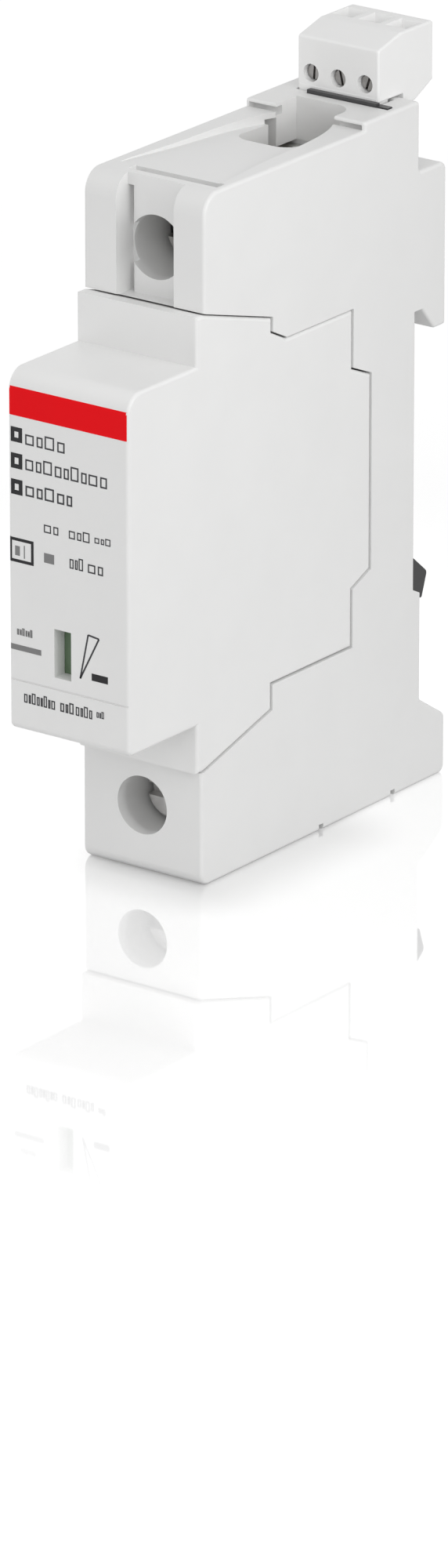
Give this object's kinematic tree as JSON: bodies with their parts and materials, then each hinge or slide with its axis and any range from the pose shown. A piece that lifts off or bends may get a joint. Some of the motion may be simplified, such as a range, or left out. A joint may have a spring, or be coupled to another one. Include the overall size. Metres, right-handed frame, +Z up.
{
  "type": "rail mounted surge arrester",
  "caption": "Plug-in surge arrester for rail mounting: narrow base with screw terminals, pull-out cartridge with status window, sliding rail latch and signalling plug.",
  "frame": {"origin": "centre line of the 35 mm rail, in the plane on which its flanges lie, at the middle of the module's width", "axes": "+X across the width towards the side seen in the picture, +Y from the front to the rail, +Z up"},
  "size_m": [0.0178, 0.066, 0.0956],
  "materials": {
    "case_plastic": "fine satin moulding",
    "cartridge_plastic": "fine satin moulding",
    "plug_plastic": "fine satin moulding",
    "latch_plastic": "matt black",
    "inner_plastic": "matt black",
    "flag_plastic": "green, satin",
    "busbar_metal": "stamped",
    "contact_metal": "stamped",
    "cage_steel": "zinc plated",
    "screw_steel": "zinc plated, dull",
    "small_screw_steel": "dull",
    "spring_steel": "bright wire and strip",
    "varistor_coating": "dipped resin",
    "solder": "dull"
  },
  "bodies": {
    "base": {"base_tower": "case_plastic", "base_spine": "case_plastic", "base_foot": "case_plastic", "base_cover": "case_plastic", "upper_busbar": "busbar_metal", "lower_busbar": "busbar_metal", "upper_contact_spring": "spring_steel", "lower_contact_spring": "spring_steel", "signal_switch": "inner_plastic", "signal_header": "inner_plastic", "header_pins": "contact_metal", "latch_spring": "spring_steel"},
    "latch": {"rail_latch": "latch_plastic"},
    "upper_screw": {"upper_terminal_screw": "screw_steel"},
    "upper_cage": {"upper_terminal_cage": "cage_steel"},
    "lower_screw": {"lower_terminal_screw": "screw_steel"},
    "lower_cage": {"lower_terminal_cage": "cage_steel"},
    "plunger": {"switch_plunger": "inner_plastic"},
    "cartridge": {"cartridge_housing": "cartridge_plastic", "cartridge_back": "cartridge_plastic", "varistor_block": "varistor_coating", "upper_blade": "busbar_metal", "lower_blade": "busbar_metal", "thermal_solder": "solder", "disconnect_spring": "spring_steel"},
    "arm": {"disconnect_arm": "contact_metal"},
    "flag": {"indicator_flag": "flag_plastic"},
    "plug": {"plug_housing": "plug_plastic", "plug_contacts": "contact_metal"},
    "plug_screw_1": {"plug_screw_1": "small_screw_steel"},
    "plug_screw_2": {"plug_screw_2": "small_screw_steel"},
    "plug_screw_3": {"plug_screw_3": "small_screw_steel"},
    "plug_clamp_1": {"plug_clamp_1": "small_screw_steel"},
    "plug_clamp_2": {"plug_clamp_2": "small_screw_steel"},
    "plug_clamp_3": {"plug_clamp_3": "small_screw_steel"}
  },
  "joints": [
    {"name": "latch_slide", "type": "slide", "parent": "base", "child": "latch", "axis": [0, 0, -1], "range_m": [0, 0.0035], "stiffness_N_per_m": 600, "springref_m": -0.005, "deforming": ["latch_spring"]},
    {"name": "upper_screw_turn", "type": "hinge", "parent": "base", "child": "upper_screw", "pos_m": [0, -0.034, 0.0347], "axis": [0, 1, 0], "range_deg": [0, 3600]},
    {"name": "upper_cage_slide", "type": "slide", "parent": "base", "child": "upper_cage", "axis": [0, -1, 0], "range_m": [0, 0.008]},
    {"name": "lower_screw_turn", "type": "hinge", "parent": "base", "child": "lower_screw", "pos_m": [0, -0.034, -0.0347], "axis": [0, 1, 0], "range_deg": [0, 3600]},
    {"name": "lower_cage_slide", "type": "slide", "parent": "base", "child": "lower_cage", "axis": [0, -1, 0], "range_m": [0, 0.008]},
    {"name": "plunger_slide", "type": "slide", "parent": "base", "child": "plunger", "axis": [0, 1, 0], "range_m": [0, 0.0008], "stiffness_N_per_m": 200, "springref_m": -0.001},
    {"name": "cartridge_pull", "type": "slide", "parent": "base", "child": "cartridge", "axis": [0, -1, 0], "range_m": [0, 0.03]},
    {"name": "arm_swing", "type": "hinge", "parent": "cartridge", "child": "arm", "pos_m": [0, -0.0447, -0.009], "axis": [-1, 0, 0], "range_deg": [0, 42]},
    {"name": "flag_slide", "type": "slide", "parent": "cartridge", "child": "flag", "axis": [0, 0, 1], "range_m": [0, 0.00616], "deforming": ["disconnect_spring"]},
    {"name": "plug_lift", "type": "slide", "parent": "base", "child": "plug", "axis": [0, 0, 1], "range_m": [0, 0.01]},
    {"name": "plug_screw_1_turn", "type": "hinge", "parent": "plug", "child": "plug_screw_1", "pos_m": [-0.004, -0.002, 0.0466], "axis": [0, 1, 0], "range_deg": [0, 1440]},
    {"name": "plug_clamp_1_slide", "type": "slide", "parent": "plug", "child": "plug_clamp_1", "axis": [0, -1, 0], "range_m": [0, 0.0018]},
    {"name": "plug_screw_2_turn", "type": "hinge", "parent": "plug", "child": "plug_screw_2", "pos_m": [0, -0.002, 0.0466], "axis": [0, 1, 0], "range_deg": [0, 1440]},
    {"name": "plug_clamp_2_slide", "type": "slide", "parent": "plug", "child": "plug_clamp_2", "axis": [0, -1, 0], "range_m": [0, 0.0018]},
    {"name": "plug_screw_3_turn", "type": "hinge", "parent": "plug", "child": "plug_screw_3", "pos_m": [0.004, -0.002, 0.0466], "axis": [0, 1, 0], "range_deg": [0, 1440]},
    {"name": "plug_clamp_3_slide", "type": "slide", "parent": "plug", "child": "plug_clamp_3", "axis": [0, -1, 0], "range_m": [0, 0.0018]}
  ],
  "couplings": [
    {"joint": "upper_screw_turn", "follows": "upper_cage_slide", "rad_per_m": 7854},
    {"joint": "lower_screw_turn", "follows": "lower_cage_slide", "rad_per_m": 7854},
    {"joint": "arm_swing", "follows": "flag_slide", "rad_per_m": 118.92},
    {"joint": "plug_screw_1_turn", "follows": "plug_clamp_1_slide", "rad_per_m": 13963},
    {"joint": "plug_screw_2_turn", "follows": "plug_clamp_2_slide", "rad_per_m": 13963},
    {"joint": "plug_screw_3_turn", "follows": "plug_clamp_3_slide", "rad_per_m": 13963}
  ]
}
